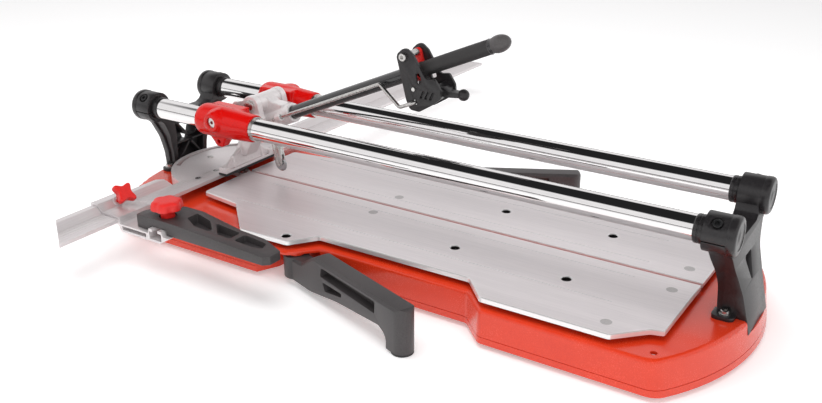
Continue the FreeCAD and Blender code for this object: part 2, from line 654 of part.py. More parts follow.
def trigger_lever():
    """Two side plates that straddle the tube, joined under it, with a finger lever and a ball."""
    plate = [(-9, 281, 8), (4, 293, 9), (16, 284, 8), (35, 255, 6), (48, 257, 4), (57, 244, 6), (58, 233, 5),
             (44, 222, 6), (26, 211, 7), (12, 212, 6), (6, 224, 8)]
    plates = both_sides(side(plate, -20, -16))
    web = side([(20, 236, 4), (44, 247, 3), (55, 241, 3), (56, 234, 4), (43, 224, 5), (27, 215, 4),
                (20, 217, 3)],
               -16, 16)
    finger = side([(50, 246, 2), (60, 240, 10), (76, 240), (76, 234), (58, 232, 10), (50, 232)], -7, 7)
    ball = Part.makeSphere(7.5, V(79.5, 0, 237))
    shape = union(*plates, web, finger, ball)
    axle = square_to_y(on_lever(TRIGGER_S, 0, TRIGGER_N), -30, 30, 2.5)
    hook = square_to_y(on_lever(HOOK[0], 0, HOOK[1]), -30, -10, ROD_R + 1.0)
    pin = square_to_y(on_lever(*STOP_PIN), -30, 30, 2.5)
    slots = [side([(x, 229, 1), (x + 4, 229, 1), (x + 9, 239, 1), (x + 5, 239, 1)], -30, -17)
             for x in (26, 33, 40)]
    window = side([(20, 260, 2), (26, 262, 2), (30, 250, 2), (22, 246, 2)], -30, 30)
    return less(shape, axle, hook, pin, window, *slots)


def trigger_axle():
    shank = square_to_y(on_lever(TRIGGER_S, 0, TRIGGER_N), -20, 20, 2.5)
    heads = []
    for sign in (1, -1):
        spot = on_lever(TRIGGER_S, 0, TRIGGER_N)
        heads.append(socket_screw((spot[0], sign * 20, spot[2]), (0, sign, 0), 5.2, 5.0, 2.5, 1))
    return union(shank, *heads)


def bent_bar(points, radius, bend):
    """Round bar along straight runs joined by tangent arcs."""
    nodes = [V(*point) for point in points]
    edges = []
    start = nodes[0]
    for before, corner, after in zip(nodes, nodes[1:], nodes[2:]):
        back = (before - corner).normalize()
        ahead = (after - corner).normalize()
        half = back.getAngle(ahead) / 2
        reach = bend / math.tan(half)
        inward = (back + ahead).normalize()
        crown = corner + inward * (bend / math.sin(half) - bend)
        edges.append(Part.makeLine(start, corner + back * reach))
        edges.append(Part.Arc(corner + back * reach, crown, corner + ahead * reach).toShape())
        start = corner + ahead * reach
    edges.append(Part.makeLine(start, nodes[-1]))
    ring = Part.Wire(Part.makeCircle(radius, nodes[0], nodes[1] - nodes[0]))
    return Part.Wire(edges).makePipeShell([ring], True, False)


def control_rod():
    hook_end = on_lever(HOOK[0], 0, HOOK[1])
    path = [on_lever(-20, ROD_Y, 0), on_lever(184, ROD_Y, 0), on_lever(208, -23.5, HOOK[1]),
            on_lever(HOOK[0], -23.5, HOOK[1]), (hook_end[0], -12, hook_end[2])]
    return bent_bar(path, ROD_R, 5.2)


save("trigger_lever", trigger_lever())
save("trigger_axle", trigger_axle())
save("trigger_roller", square_to_y(on_lever(TRIGGER_S, 0, TRIGGER_N), -9.6, 9.6, 5.0, 2.5))
save("trigger_stop_pin", square_to_y(on_lever(*STOP_PIN), -21.5, 21.5, 2.5))
save("control_rod", control_rod())


# ---- separator foot -----------------------------------------------------------------------
FOOT_LOW = 71.2
RUBBER_LOW = 67.7


def separator_foot():
    """Wide inverted wing that presses on the tile each side of the scored line."""
    wing = [(-53, FOOT_LOW), (53, FOOT_LOW), (53, 79, 2), (40, 84, 6), (17, 100, 8), (12, 112, 4),
            (-12, 112, 4),
            (-17, 100, 8), (-40, 84, 6), (-53, 79, 2)]
    blade = end(wing, -299, -293)
    flat = block((-303, -288.5), (-53, 53), (FOOT_LOW, FOOT_LOW + 4))
    ends = both_sides(block((-303, -288.5), (-53, -43), (FOOT_LOW, FOOT_LOW + 9)))
    neck = side([(-299, 92), (-286, 86, 5), (-268, 120), (-288, 122), (-299, 106)], -12.6, 12.6)
    eye = rod((FOOT_PIN[0], -12.6, FOOT_PIN[1]), (FOOT_PIN[0], 12.6, FOOT_PIN[1]), 10)
    gussets = [side([(-302, FOOT_LOW), (-289, FOOT_LOW), (-293, 92), (-299, 92)], y - 1.5, y + 1.5)
               for y in (-30, 30)]
    shape = union(blade, flat, neck, eye, *ends, *gussets)
    return less(shape, rod((FOOT_PIN[0], -20, FOOT_PIN[1]), (FOOT_PIN[0], 20, FOOT_PIN[1]), 4 + FIT))


def foot_pad():
    return end([(-54, RUBBER_LOW, 1), (54, RUBBER_LOW, 1), (54, FOOT_LOW), (-54, FOOT_LOW)], -303.5, -288)


save("separator_foot", separator_foot())
save("separator_pad", foot_pad())
save("separator_pin", rod((FOOT_PIN[0], -21, FOOT_PIN[1]), (FOOT_PIN[0], 21, FOOT_PIN[1]), 4))


# ---- fence --------------------------------------------------------------------------------
RULER_BACK = -351.0
FENCE_FACE = -302.0
RULER_SCREWS = (-78, -40, 40, 78)
RULER_SCREW_X = -322.0
STRIP_LOW = 61.3         # all that swings over the tables stays above this
LOCK_X = -372.0
DISC_TOP = 66.4
NOTCH_HALF = 117.0       # the ruler's raised back is cut away over the disc, this far each way


def ruler_section():
    """Rolled section of the ruler, x and z, with a raised back and a lip that the tile stands against."""
    return [(RULER_BACK, 65), (RULER_BACK, 76), (-342, 76), (-334, 67), (FENCE_FACE, 67), (FENCE_FACE, 62),
            (-305, 62), (-305, 64.6), (-335.3, 64.6), (-343.3, 73.6), (-348.5, 73.6), (-348.5, 65)]


def ruler():
    """The near end is cut on a slant, and the raised back makes room for the disc."""
    bar = side(ruler_section(), RULER_NEAR - 45, RULER_FAR)
    slant = plan([(-380, RULER_NEAR + 20), (-290, RULER_NEAR - 44), (-290, -400), (-380, -400)], 50, 90)
    room = plan([(-333, NOTCH_HALF), (-360, NOTCH_HALF + 24), (-360, -NOTCH_HALF - 24),
                 (-333, -NOTCH_HALF)], 60, 90)
    grooves = [block((x - 0.3, x + 0.3), (-400, 800), (66.7, 68)) for x in (-326, -320, -314, -308)]
    holes = [cone((RULER_SCREW_X, y, 65.0), (RULER_SCREW_X, y, 67.01), 2.7, 4.8) for y in RULER_SCREWS]
    holes += [rod((RULER_SCREW_X, y, 60), (RULER_SCREW_X, y, 70), 2.6) for y in RULER_SCREWS]
    return less(bar, slant, room, *grooves, *holes)


def ruler_screw(y):
    """Countersunk screw, flush with the ruler."""
    head = cone((RULER_SCREW_X, y, 65.0), (RULER_SCREW_X, y, 66.9), 2.6, 4.5)
    return union(head, rod((RULER_SCREW_X, y, STRIP_LOW), (RULER_SCREW_X, y, 65.1), 2.6))


def swivel_disc():
    """Half disc beside the ruler that turns on the deck, with a curved slot for its lock."""
    centre = (SWIVEL[0], SWIVEL[1])
    plate = rod((*centre, 60), (*centre, DISC_TOP - 0.6), DISC_R)
    border = rod((*centre, 60), (*centre, DISC_TOP), DISC_R, DISC_R - 6)
    rim = rod((*centre, 50), (*centre, 62), DISC_R, DISC_R - 5)
    keep = plan([(-430, -117), (-333.2, -117), (-333.2, 117), (-430, 117)], 40, 70)
    disc = union(plate, border, rim).common(keep)
    slot_out = rod((*centre, 40), (*centre, 70), 103)
    slot_in = rod((*centre, 40), (*centre, 70), 97)
    sector = plan([centre, (SWIVEL[0] - 130, -84), (SWIVEL[0] - 220, -40), (SWIVEL[0] - 220, 150),
                   (SWIVEL[0] - 90, 150)], 40, 70)
    slot = less(slot_out, slot_in).common(sector)
    hub = rod((*centre, 50), (*centre, 55.5), 10)
    bridge = plan([(-345, -9), (-306, -9), (-306, 9), (-345, 9)], 50, 55.5)
    post = plan([(-345, -9), (-333.2, -9), (-333.2, 9), (-345, 9)], 50, 62)
    strip = block((-333.2, -313), (-90, 90), (STRIP_LOW, 64.6))
    under = block((-336, -333), (-90, 90), (STRIP_LOW, 64.6))
    disc = union(less(disc, slot), hub, bridge, post, strip, under)
    holes = [rod((RULER_SCREW_X, y, 50), (RULER_SCREW_X, y, 70), 2.6) for y in RULER_SCREWS]
    bore = rod((*centre, 40), (*centre, 60), 4 + FIT)
    head_room = rod((*centre, 55.5), (*centre, 64.6), 8.5)
    lock_hole = rod((LOCK_X, 0, 50), (LOCK_X, 0, 70), 2.6)
    return less(disc, bore, head_room, lock_hole, *holes)


def disc_screw():
    head = rod((LOCK_X, 0, DISC_TOP - 0.6), (LOCK_X, 0, DISC_TOP + 1), 4.5)
    return union(rod((LOCK_X, 0, 58), (LOCK_X, 0, DISC_TOP - 0.6), 2.6), head)


def pivot_stud():
    """Shoulder bolt in the deck that the fence turns on."""
    return union(rod((*SWIVEL, 36), (*SWIVEL, 56), 4), rod((*SWIVEL, 55.7), (*SWIVEL, 59.5), 7.5))


save("ruler", ruler())
save("ruler_screws", *[ruler_screw(y) for y in RULER_SCREWS])
save("swivel_disc", swivel_disc())
save("disc_screw", disc_screw())
save("fence_pivot_bolt", pivot_stud())


# ---- sliding stop -------------------------------------------------------------------------
KNOB = (-234.0, -221.0)
STAR_REACH = 21.5        # from the star knob's axis to the tips of its lobes
STAR_STEM = 7.0
STAR_OUT = 20.0          # from the tip of its screw to the underside of its head
STOP_ARM_LOW = 61.4
GAP = 0.3                # room round the ruler inside the slider
STAR = V(-338.5, -216, 72.4)     # where the star knob's screw meets the ruler's slope
STAR_WAY = V(0.72, 0, 0.69).normalize()
TIP = 0.6                # the screw stops this far above the slope


def at_star(distance):
    return STAR + STAR_WAY * distance


def stop_slider():
    """Extruded sleeve round the ruler with a hollow box and a T-slot rail in front."""
    outer = [(-354.3, 59), (-354.3, 79, 1), (-341, 79, 2), (-332.6, 70), (-299.5, 70), (-299.5, 60.6),
             (-247, 60.6),
             (-245, 67.4), (-223, 67.4), (-220, 60.6), (-209, 60.6), (-226, 50), (-298, 50), (-303, 59)]
    cavity = [(RULER_BACK - GAP, 65 - GAP), (RULER_BACK - GAP, 76 + GAP), (-342 + GAP, 76 + GAP),
              (-334 + GAP, 67 + GAP), (FENCE_FACE + GAP, 67 + GAP), (FENCE_FACE + GAP, 62 - GAP),
              (-305 - GAP, 62 - GAP), (-305 - GAP, 64.6 - GAP), (-335.3 - GAP, 64.6 - GAP),
              (-343.3 - GAP, 73.6 - GAP), (-348.5 + GAP, 73.6 - GAP), (-348.5 + GAP, 65 - GAP)]
    near, far = STOP_NEAR - 1, STOP_FAR + 1
    chamber = side([(-296, 53, 1), (-251, 53, 1), (-251, 58.3, 1), (-296, 58.3, 1)], near, far)
    slot = side([(-245, 53, 1), (-223, 53, 1), (-223, 63.5, 1), (-229, 63.5), (-229, 69), (-239, 69),
                 (-239, 63.5),
                 (-245, 63.5, 1)], near, far)
    under = side([(-352, 61), (-352, 64.7), (-348.5, 64.7), (-348.5, 71.5), (-344.5, 71.5), (-336.5, 62.2),
                  (-308, 62.2), (-308, 61)], near, far)
    pad = Part.makeCylinder(6.5, 6, at_star(-1), STAR_WAY)
    bore = Part.makeCylinder(3 + FIT, 12, at_star(-4), STAR_WAY)
    shape = union(side(outer, STOP_NEAR, STOP_FAR), pad)
    return less(shape, side(cavity, near, far), chamber, slot, under, bore)


def stop_arm():
    """Side stop for the tile: a ribbed arm that lies over the table."""
    outline = [(-275, -240, 5), (-57, -240, 2), (-50, -233, 2), (-50, -214, 3), (-86, -200, 6),
               (-127, -199, 20),
               (-203, -187, 10), (-236, -187, 10), (-262, -204, 10), (-275, -222, 10)]
    arm = plan(outline, STOP_ARM_LOW, 80)
    profile = side([(-280, STOP_ARM_LOW), (-280, 77, 3), (-262, 79.5, 8), (-200, 79.5, 30), (-45, 72),
                    (-45, STOP_ARM_LOW)], -260, -170)
    arm = arm.common(profile)
    pockets = [plan([(-206, -196, 2), (-176, -203, 2), (-150, -226, 4), (-182, -226, 4), (-206, -214, 2)],
                    66, 90),
               plan([(-166, -203, 2), (-122, -206, 4), (-122, -226, 4), (-142, -226, 3)], 66, 90),
               plan([(-114, -206, 4), (-76, -209, 6), (-72, -222, 3), (-84, -226, 3), (-114, -226, 3)], 66,
                    90)]
    bore = rod((*KNOB, 50), (*KNOB, 90), 3.2)
    seat = rod((*KNOB, 76.5), (*KNOB, 90), 11.5)
    channel = block((-248, -219), (-260, -170), (60, 67.8))
    return less(arm, bore, seat, channel, *pockets)


def lobed_head(lobes, reach, waist, edge, height):
    """Knob head on the origin along +Z, whose round lobes stand on a centre disc."""
    head = rod((0, 0, 0), (0, 0, height), waist)
    parts = []
    for index in range(lobes):
        turn = 2 * math.pi * (index + 0.5) / lobes
        cx = math.cos(turn) * (reach - edge)
        cy = math.sin(turn) * (reach - edge)
        parts.append(rod((cx, cy, 0), (cx, cy, height), edge))
    return union(head, *parts)


def star_knob():
    """Four-lobed knob whose screw presses on the ruler's slope."""
    head = union(lobed_head(4, STAR_REACH, 13, 6, 9), rod((0, 0, -STAR_STEM), (0, 0, 0), 7))
    knob = union(head, rod((0, 0, -STAR_OUT), (0, 0, 0), 3))
    knob.rotate(V(0, 0, 0), V(0, 1, 0), math.degrees(V(0, 0, 1).getAngle(STAR_WAY)))
    knob.translate(at_star(TIP + STAR_OUT))
    return knob


def clamp_knob():
    """Round knob with six shallow lobes; its T-bolt hangs in the slot of the slider."""
    head = lobed_head(6, 20, 17.5, 8, 13)
    head.translate(V(*KNOB, 89))
    bolt = union(rod((*KNOB, 57), (*KNOB, 62.5), 5.5), rod((*KNOB, 62), (*KNOB, 78), 3))
    return union(head, rod((*KNOB, 77), (*KNOB, 89), 9.5), bolt)


save("stop_slider", stop_slider())
save("stop_arm", stop_arm())
save("star_knob", star_knob())
save("clamp_knob", clamp_knob())


# ---- support arms -------------------------------------------------------------------------
ARM_TOP = 60.0
LUG_LOW = 10.0
LUG_HIGH = 40.0
ARM_HALF = 13.5


def support_arm():
    """Swing-out arm along +X from its pivot at the origin, with a post that stands on the bench."""
    out = ARM_REACH + POST_R
    profile = [(-17, LUG_LOW), (-17, LUG_HIGH), (30, LUG_HIGH, 12), (50, 54, 16), (62, ARM_TOP, 6),
               (out, ARM_TOP, 5), (out, 3), (out - 2 * POST_R, 3), (out - 2 * POST_R, 20, 14), (196, 27),
               (110, 20, 60), (52, LUG_LOW, 40)]
    arm = side(profile, -ARM_HALF, ARM_HALF)
    upper = [edge for edge in arm.Edges
             if abs(edge.BoundBox.ZMin - ARM_TOP) < 0.01 and abs(edge.BoundBox.ZMax - ARM_TOP) < 0.01
             and edge.BoundBox.XLength > 50]
    arm = arm.makeChamfer(3.5, upper)
    ends = union(rod((0, 0, 0), (0, 0, 70), 17), block((0, ARM_REACH), (-ARM_HALF, ARM_HALF), (0, 70)),
                 rod((ARM_REACH, 0, 0), (ARM_REACH, 0, 70), POST_R))
    arm = union(arm, rod((0, 0, LUG_LOW), (0, 0, LUG_HIGH), 17)).common(ends)
    bore = rod((0, 0, 0), (0, 0, 50), 5 + FIT)
    slot = side([(76, 40.5, 2), (189, 38.5, 2), (190, 54, 2), (79, 53, 2)], -ARM_HALF - 1, ARM_HALF + 1)
    corner = side([(80, 34.5, 2), (122, 35.5, 1), (121, 30, 1), (86, 23.5, 2)], -ARM_HALF - 1, ARM_HALF + 1)
    spine = block((60, 200), (-1.5, 1.5), (15, 56))
    return less(arm, bore, less(slot, spine), less(corner, spine))


def arm_pad():
    """Rubber shoe pushed on to the foot of the post."""
    pad = rod((ARM_REACH, 0, 0), (ARM_REACH, 0, 3), POST_R)
    lower = [edge for edge in pad.Edges if all(abs(v.Z) < 0.01 for v in edge.Vertexes)]
    return pad.makeFillet(1.2, lower)


def placed(shape, sign, turn):
    """Put an arm at its pivot on the front (-1) or rear (1) side, turned about Z."""
    moved = shape.copy()
    moved.rotate(V(0, 0, 0), UP, turn)
    moved.translate(V(ARM_PIVOT[0], sign * ARM_PIVOT[1], 0))
    return moved


def arm_pin(sign):
    """Pivot pin with a flat head under the arm."""
    x = ARM_PIVOT[0]
    y = sign * ARM_PIVOT[1]
    return union(rod((x, y, LUG_LOW - 0.3), (x, y, DECK - 2), 5), rod((x, y, 6.5), (x, y, LUG_LOW - 0.3), 10))


save("front_support_arm", placed(support_arm(), -1, FRONT_ARM_TURN))
save("rear_support_arm", placed(mirror_y(support_arm()), 1, REAR_ARM_TURN))
save("front_arm_pad", placed(arm_pad(), -1, FRONT_ARM_TURN))
save("rear_arm_pad", placed(arm_pad(), 1, REAR_ARM_TURN))
save("arm_pivot_pins", arm_pin(-1), arm_pin(1))
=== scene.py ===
import math

import bpy
from mathutils import Matrix, Vector


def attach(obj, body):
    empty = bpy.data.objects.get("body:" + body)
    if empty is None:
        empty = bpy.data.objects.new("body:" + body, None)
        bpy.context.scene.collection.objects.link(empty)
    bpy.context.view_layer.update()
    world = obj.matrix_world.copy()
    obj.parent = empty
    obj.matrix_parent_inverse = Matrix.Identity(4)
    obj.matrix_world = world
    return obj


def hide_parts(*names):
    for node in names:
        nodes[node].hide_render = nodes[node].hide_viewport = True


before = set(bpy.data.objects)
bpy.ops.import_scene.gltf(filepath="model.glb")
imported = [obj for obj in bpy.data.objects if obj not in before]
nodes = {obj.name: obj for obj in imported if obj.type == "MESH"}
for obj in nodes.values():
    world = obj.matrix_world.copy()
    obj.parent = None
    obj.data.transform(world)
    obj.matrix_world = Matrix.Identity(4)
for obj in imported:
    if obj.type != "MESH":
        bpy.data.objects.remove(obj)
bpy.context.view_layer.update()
MM = 0.001

# ---- Studio --------------------------------------------------------------------------------
# White seamless floor in a white room with a dark ceiling, so that chromed bars show a black band
# above a wide bright one. A thin dark line at the horizon draws the fine line below it.
scene = bpy.context.scene
scene.view_settings.view_transform = "Standard"
camera_data = bpy.data.cameras.new("studio_camera")
camera_data.lens = 41.9
camera_data.sensor_width = 36.0
camera_data.shift_x = -0.001
camera_data.shift_y = -0.002
LOOK_DOWN = math.radians(22.38)
LOOK_LEFT = math.radians(32.86)
camera = bpy.data.objects.new("studio_camera", camera_data)
camera.location = (0.655, -1.011, 0.573)
camera.rotation_euler = (math.pi / 2 - LOOK_DOWN, 0, LOOK_LEFT)
scene.collection.objects.link(camera)
scene.camera = camera

FLOOR_SIZE = 40
FLOOR_GAP = 0.3 * MM
bpy.ops.mesh.primitive_plane_add(size=FLOOR_SIZE, location=(0, 0, -FLOOR_GAP))
floor = bpy.context.object
floor.name = "studio_floor"
paper = bpy.data.materials.new("white_paper")
paper.use_nodes = True
paper_shader = paper.node_tree.nodes["Principled BSDF"]
paper_shader.inputs["Roughness"].default_value = 0.9
paper_shader.inputs["Specular IOR Level"].default_value = 0.1
fibre = paper.node_tree.nodes.new("ShaderNodeTexNoise")
fibre.inputs["Scale"].default_value = 3.0
fibre_tone = paper.node_tree.nodes.new("ShaderNodeMix")
fibre_tone.data_type = "RGBA"
fibre_tone.inputs["A"].default_value = (0.93, 0.93, 0.93, 1)
fibre_tone.inputs["B"].default_value = (0.96, 0.96, 0.96, 1)
paper.node_tree.links.new(fibre.outputs["Fac"], fibre_tone.inputs["Factor"])
paper.node_tree.links.new(fibre_tone.outputs["Result"], paper_shader.inputs["Base Color"])
paper.node_tree.links.new(fibre_tone.outputs["Result"], paper_shader.inputs["Emission Color"])
paper_shader.inputs["Emission Strength"].default_value = 0.30
floor.data.materials.append(paper)

world = bpy.data.worlds.new("studio_room")
scene.world = world
world.use_nodes = True
room = world.node_tree
direction = room.nodes.new("ShaderNodeTexCoord")
parts = room.nodes.new("ShaderNodeSeparateXYZ")
room.links.new(direction.outputs["Generated"], parts.inputs["Vector"])


def room_range(socket, low, high):
    """0 to 1 as a direction's coordinate goes from low to high."""
    ramp = room.nodes.new("ShaderNodeMapRange")
    ramp.interpolation_type = "SMOOTHSTEP"
    ramp.inputs["From Min"].default_value = low
    ramp.inputs["From Max"].default_value = high
    room.links.new(socket, ramp.inputs["Value"])
    return ramp.outputs["Result"]


def room_math(operation, first, second):
    """One value from two."""
    result = room.nodes.new("ShaderNodeMath")
    result.operation = operation
    room.links.new(first, result.inputs[0])
    room.links.new(second, result.inputs[1])
    return result.outputs["Value"]


rise = parts.outputs["Z"]
ceiling = room_range(rise, 0.66, 0.74)
above_floor = room_range(rise, 0.03, 0.05)
below_wall = room_range(rise, 0.13, 0.10)
horizon = room_math("MULTIPLY", above_floor, below_wall)
dark_room = room_math("MAXIMUM", ceiling, horizon)
room_tone = room.nodes.new("ShaderNodeMix")
room_tone.data_type = "RGBA"
room_tone.inputs["A"].default_value = (1.0, 0.985, 0.99, 1)
room_tone.inputs["B"].default_value = (0.02, 0.02, 0.021, 1)
room.links.new(dark_room, room_tone.inputs["Factor"])
backdrop = room.nodes["Background"]
room.links.new(room_tone.outputs["Result"], backdrop.inputs["Color"])
backdrop.inputs["Strength"].default_value = 0.95


def softbox(name, place, aim, size, watts):
    """Large soft lamp aimed at a point."""
    lamp = bpy.data.lights.new(name, "AREA")
    lamp.shape = "RECTANGLE"
    lamp.size, lamp.size_y = size
    lamp.energy = watts
    holder = bpy.data.objects.new(name, lamp)
    holder.location = place
    holder.rotation_euler = (Vector(aim) - Vector(place)).to_track_quat("-Z", "Y").to_euler()
    holder.visible_glossy = False
    scene.collection.objects.link(holder)


softbox("overhead_softbox", (-0.1, -0.4, 2.4), (0, 0, 0), (2.6, 1.8), 42)
softbox("right_softbox", (2.0, -1.6, 1.1), (0, 0, 0.05), (1.2, 1.2), 10)

# ---- Base ----------------------------------------------------------------------------------
# Cast shell with rounded ends under thick glossy enamel, on rubber feet. The breaking bar is
# screwed to its deck in the slit between the tables, in the same enamel.


def grain_group():
    """Shading of a surface from noise: colour, roughness and height that change over it."""
    group = bpy.data.node_groups.new("grain", "ShaderNodeTree")
    face = group.interface
    given = {"Place": "Vector", "Size": "Float", "Light": "Color", "Dark": "Color", "Smooth": "Float",
             "Rough": "Float"}
    made = {"Color": "Color", "Roughness": "Float", "Height": "Float"}
    for name, kind in given.items():
        face.new_socket(name=name, in_out="INPUT", socket_type="NodeSocket" + kind)
    for name, kind in made.items():
        face.new_socket(name=name, in_out="OUTPUT", socket_type="NodeSocket" + kind)
    entry = group.nodes.new("NodeGroupInput")
    leave = group.nodes.new("NodeGroupOutput")
    fine = group.nodes.new("ShaderNodeTexNoise")
    fine.inputs["Detail"].default_value = 4.0
    cloud = group.nodes.new("ShaderNodeTexNoise")
    cloud.inputs["Scale"].default_value = 14.0
    cloud.inputs["Detail"].default_value = 3.0
    blend = group.nodes.new("ShaderNodeMix")
    blend.inputs["Factor"].default_value = 0.4
    tone = group.nodes.new("ShaderNodeMapRange")
    tone.inputs["From Min"].default_value = 0.36
    tone.inputs["From Max"].default_value = 0.64
    mix = group.nodes.new("ShaderNodeMix")
    mix.data_type = "RGBA"
    gloss = group.nodes.new("ShaderNodeMapRange")
    gloss.inputs["From Min"].default_value = 0.3
    gloss.inputs["From Max"].default_value = 0.7
    join = group.links.new
    join(entry.outputs["Place"], fine.inputs["Vector"])
    join(entry.outputs["Size"], fine.inputs["Scale"])
    join(entry.outputs["Place"], cloud.inputs["Vector"])
    join(fine.outputs["Fac"], blend.inputs["A"])
    join(cloud.outputs["Fac"], blend.inputs["B"])
    join(blend.outputs["Result"], tone.inputs["Value"])
    join(tone.outputs["Result"], mix.inputs["Factor"])
    join(entry.outputs["Dark"], mix.inputs["A"])
    join(entry.outputs["Light"], mix.inputs["B"])
    join(blend.outputs["Result"], gloss.inputs["Value"])
    join(entry.outputs["Smooth"], gloss.inputs["To Min"])
    join(entry.outputs["Rough"], gloss.inputs["To Max"])
    join(mix.outputs["Result"], leave.inputs["Color"])
    join(gloss.outputs["Result"], leave.inputs["Roughness"])
    join(fine.outputs["Fac"], leave.inputs["Height"])
    return group


grain = grain_group()


def finish(name, light, dark, smooth, rough, size=300.0, stretch=(1, 1, 1), bump=0.1, depth=0.0002,
           metallic=0.0, coat=0.0):
    """One surface finish: a grain in the object's own place, stretched along its working direction."""
    skin = bpy.data.materials.new(name)
    skin.use_nodes = True
    tree = skin.node_tree
    shader = tree.nodes["Principled BSDF"]
    shader.inputs["Metallic"].default_value = metallic
    shader.inputs["Coat Weight"].default_value = coat
    shader.inputs["Coat Roughness"].default_value = 0.06
    place = tree.nodes.new("ShaderNodeTexCoord")
    lay = tree.nodes.new("ShaderNodeMapping")
    lay.inputs["Scale"].default_value = stretch
    texture = tree.nodes.new("ShaderNodeGroup")
    texture.node_tree = grain
    texture.name = "texture"
    texture.inputs["Size"].default_value = size
    texture.inputs["Light"].default_value = (*light, 1)
    texture.inputs["Dark"].default_value = (*dark, 1)
    texture.inputs["Smooth"].default_value = smooth
    texture.inputs["Rough"].default_value = rough
    relief = tree.nodes.new("ShaderNodeBump")
    relief.inputs["Strength"].default_value = bump
    relief.inputs["Distance"].default_value = depth
    tree.links.new(place.outputs["Object"], lay.inputs["Vector"])
    tree.links.new(lay.outputs["Vector"], texture.inputs["Place"])
    tree.links.new(texture.outputs["Color"], shader.inputs["Base Color"])
    tree.links.new(texture.outputs["Roughness"], shader.inputs["Roughness"])
    tree.links.new(texture.outputs["Height"], relief.inputs["Height"])
    tree.links.new(relief.outputs["Normal"], shader.inputs["Normal"])
    return skin


def wear(skin, *names):
    """Give CAD pieces their finish."""
    for name in names:
        nodes[name].material_slots[0].material = skin


red_enamel = finish("red_enamel", (0.76, 0.048, 0.012), (0.66, 0.032, 0.007), 0.20, 0.30, size=900, bump=0.10,
                    depth=0.0001, coat=0.25)
wear(red_enamel, "base_shell", "breaking_bar")
foot_rubber = finish("foot_rubber", (0.035, 0.035, 0.035), (0.02, 0.02, 0.02), 0.65, 0.85, size=500,
                     bump=0.25)
wear(foot_rubber, "base_feet", "front_table_cushions", "rear_table_cushions")
zinc = finish("zinc_steel", (0.66, 0.65, 0.63), (0.50, 0.49, 0.48), 0.20, 0.34, size=220, bump=0.05,
              metallic=1.0)
wear(zinc, "bar_screws")

# ---- Tables --------------------------------------------------------------------------------
# Two cast aluminium plates with brushed tops and bright milled edges. Flush plugs fill the marks
# of the casting's ejectors, and black shoulder screws stand in holes whose walls carry painted shade.
SCREW_SPOTS = ((264, 72), (111, 69), (-90, 156))
SCREW_HOLE_R = 5.9
table_top = finish("table_aluminium", (0.82, 0.775, 0.785), (0.72, 0.68, 0.69), 0.36, 0.48, size=160,
                   stretch=(0.12, 5, 5), bump=0.05, metallic=0.55)


def second_finish(skin, mask, colour, roughness):
    """Lay another colour and roughness over a finish wherever a mask is 1."""
    tree = skin.node_tree
    shader = tree.nodes["Principled BSDF"]
    tint = tree.nodes.new("ShaderNodeMix")
    tint.data_type = "RGBA"
    tint.inputs["B"].default_value = (*colour, 1)
    gloss = tree.nodes.new("ShaderNodeMix")
    gloss.inputs["B"].default_value = roughness
    for mix, name in ((tint, "Base Color"), (gloss, "Roughness")):
        first = shader.inputs[name].links[0].from_socket
        tree.links.new(mask, mix.inputs["Factor"])
        tree.links.new(first, mix.inputs["A"])
        tree.links.new(mix.outputs["Result"], shader.inputs[name])


def bright_edges(skin):
    """Milled bevels and sides shine more than the brushed top: chosen by the way the surface faces."""
    tree = skin.node_tree
    facing = tree.nodes.new("ShaderNodeNewGeometry")
    upward = tree.nodes.new("ShaderNodeSeparateXYZ")
    milled = tree.nodes.new("ShaderNodeMapRange")
    milled.inputs["From Min"].default_value = 0.97
    milled.inputs["From Max"].default_value = 0.85
    tree.links.new(facing.outputs["True Normal"], upward.inputs["Vector"])
    tree.links.new(upward.outputs["Z"], milled.inputs["Value"])
    second_finish(skin, milled.outputs["Result"], (0.86, 0.86, 0.86), 0.24)


def paint_hole_shade(skin, spots, radius):
    """Painted shade in round holes: near-black colour and a rough, unpolished finish on their walls, at the
    same x and |y| in both tables.
    """
    tree = skin.node_tree
    place = tree.nodes.new("ShaderNodeTexCoord")
    axes = tree.nodes.new("ShaderNodeSeparateXYZ")
    fold = tree.nodes.new("ShaderNodeMath")
    fold.operation = "ABSOLUTE"
    flat = tree.nodes.new("ShaderNodeCombineXYZ")
    tree.links.new(place.outputs["Object"], axes.inputs["Vector"])
    tree.links.new(axes.outputs["Y"], fold.inputs[0])
    tree.links.new(axes.outputs["X"], flat.inputs["X"])
    tree.links.new(fold.outputs["Value"], flat.inputs["Y"])
    nearest = None
    for x, y in spots:
        away = tree.nodes.new("ShaderNodeVectorMath")
        away.operation = "DISTANCE"
        away.inputs[1].default_value = (x * MM, y * MM, 0)
        tree.links.new(flat.outputs["Vector"], away.inputs[0])
        if nearest is None:
            nearest = away.outputs["Value"]
            continue
        closer = tree.nodes.new("ShaderNodeMath")
        closer.operation = "MINIMUM"
        tree.links.new(nearest, closer.inputs[0])
        tree.links.new(away.outputs["Value"], closer.inputs[1])
        nearest = closer.outputs["Value"]
    inside = tree.nodes.new("ShaderNodeMapRange")
    inside.inputs["From Min"].default_value = (radius + 0.2) * MM
    inside.inputs["From Max"].default_value = radius * MM
    tree.links.new(nearest, inside.inputs["Value"])
    # The near-black colour is painted shade inside the holes; the roughness is their unpolished finish.
    second_finish(skin, inside.outputs["Result"], (0.012, 0.010, 0.010), 0.8)


bright_edges(table_top)
# Painted shade on the walls of the screw holes.
paint_hole_shade(table_top, SCREW_SPOTS, SCREW_HOLE_R)
wear(table_top, "front_table", "rear_table")
plug_metal = finish("plug_aluminium", (0.56, 0.54, 0.54), (0.46, 0.44, 0.44), 0.40, 0.55, size=700, bump=0.08,
                    metallic=0.55)
wear(plug_metal, "front_table_discs", "rear_table_discs")
black_oxide = finish("black_oxide", (0.035, 0.035, 0.037), (0.02, 0.02, 0.021), 0.30, 0.46, size=500,
                     bump=0.06, metallic=0.6)
wear(black_oxide, "table_screws")

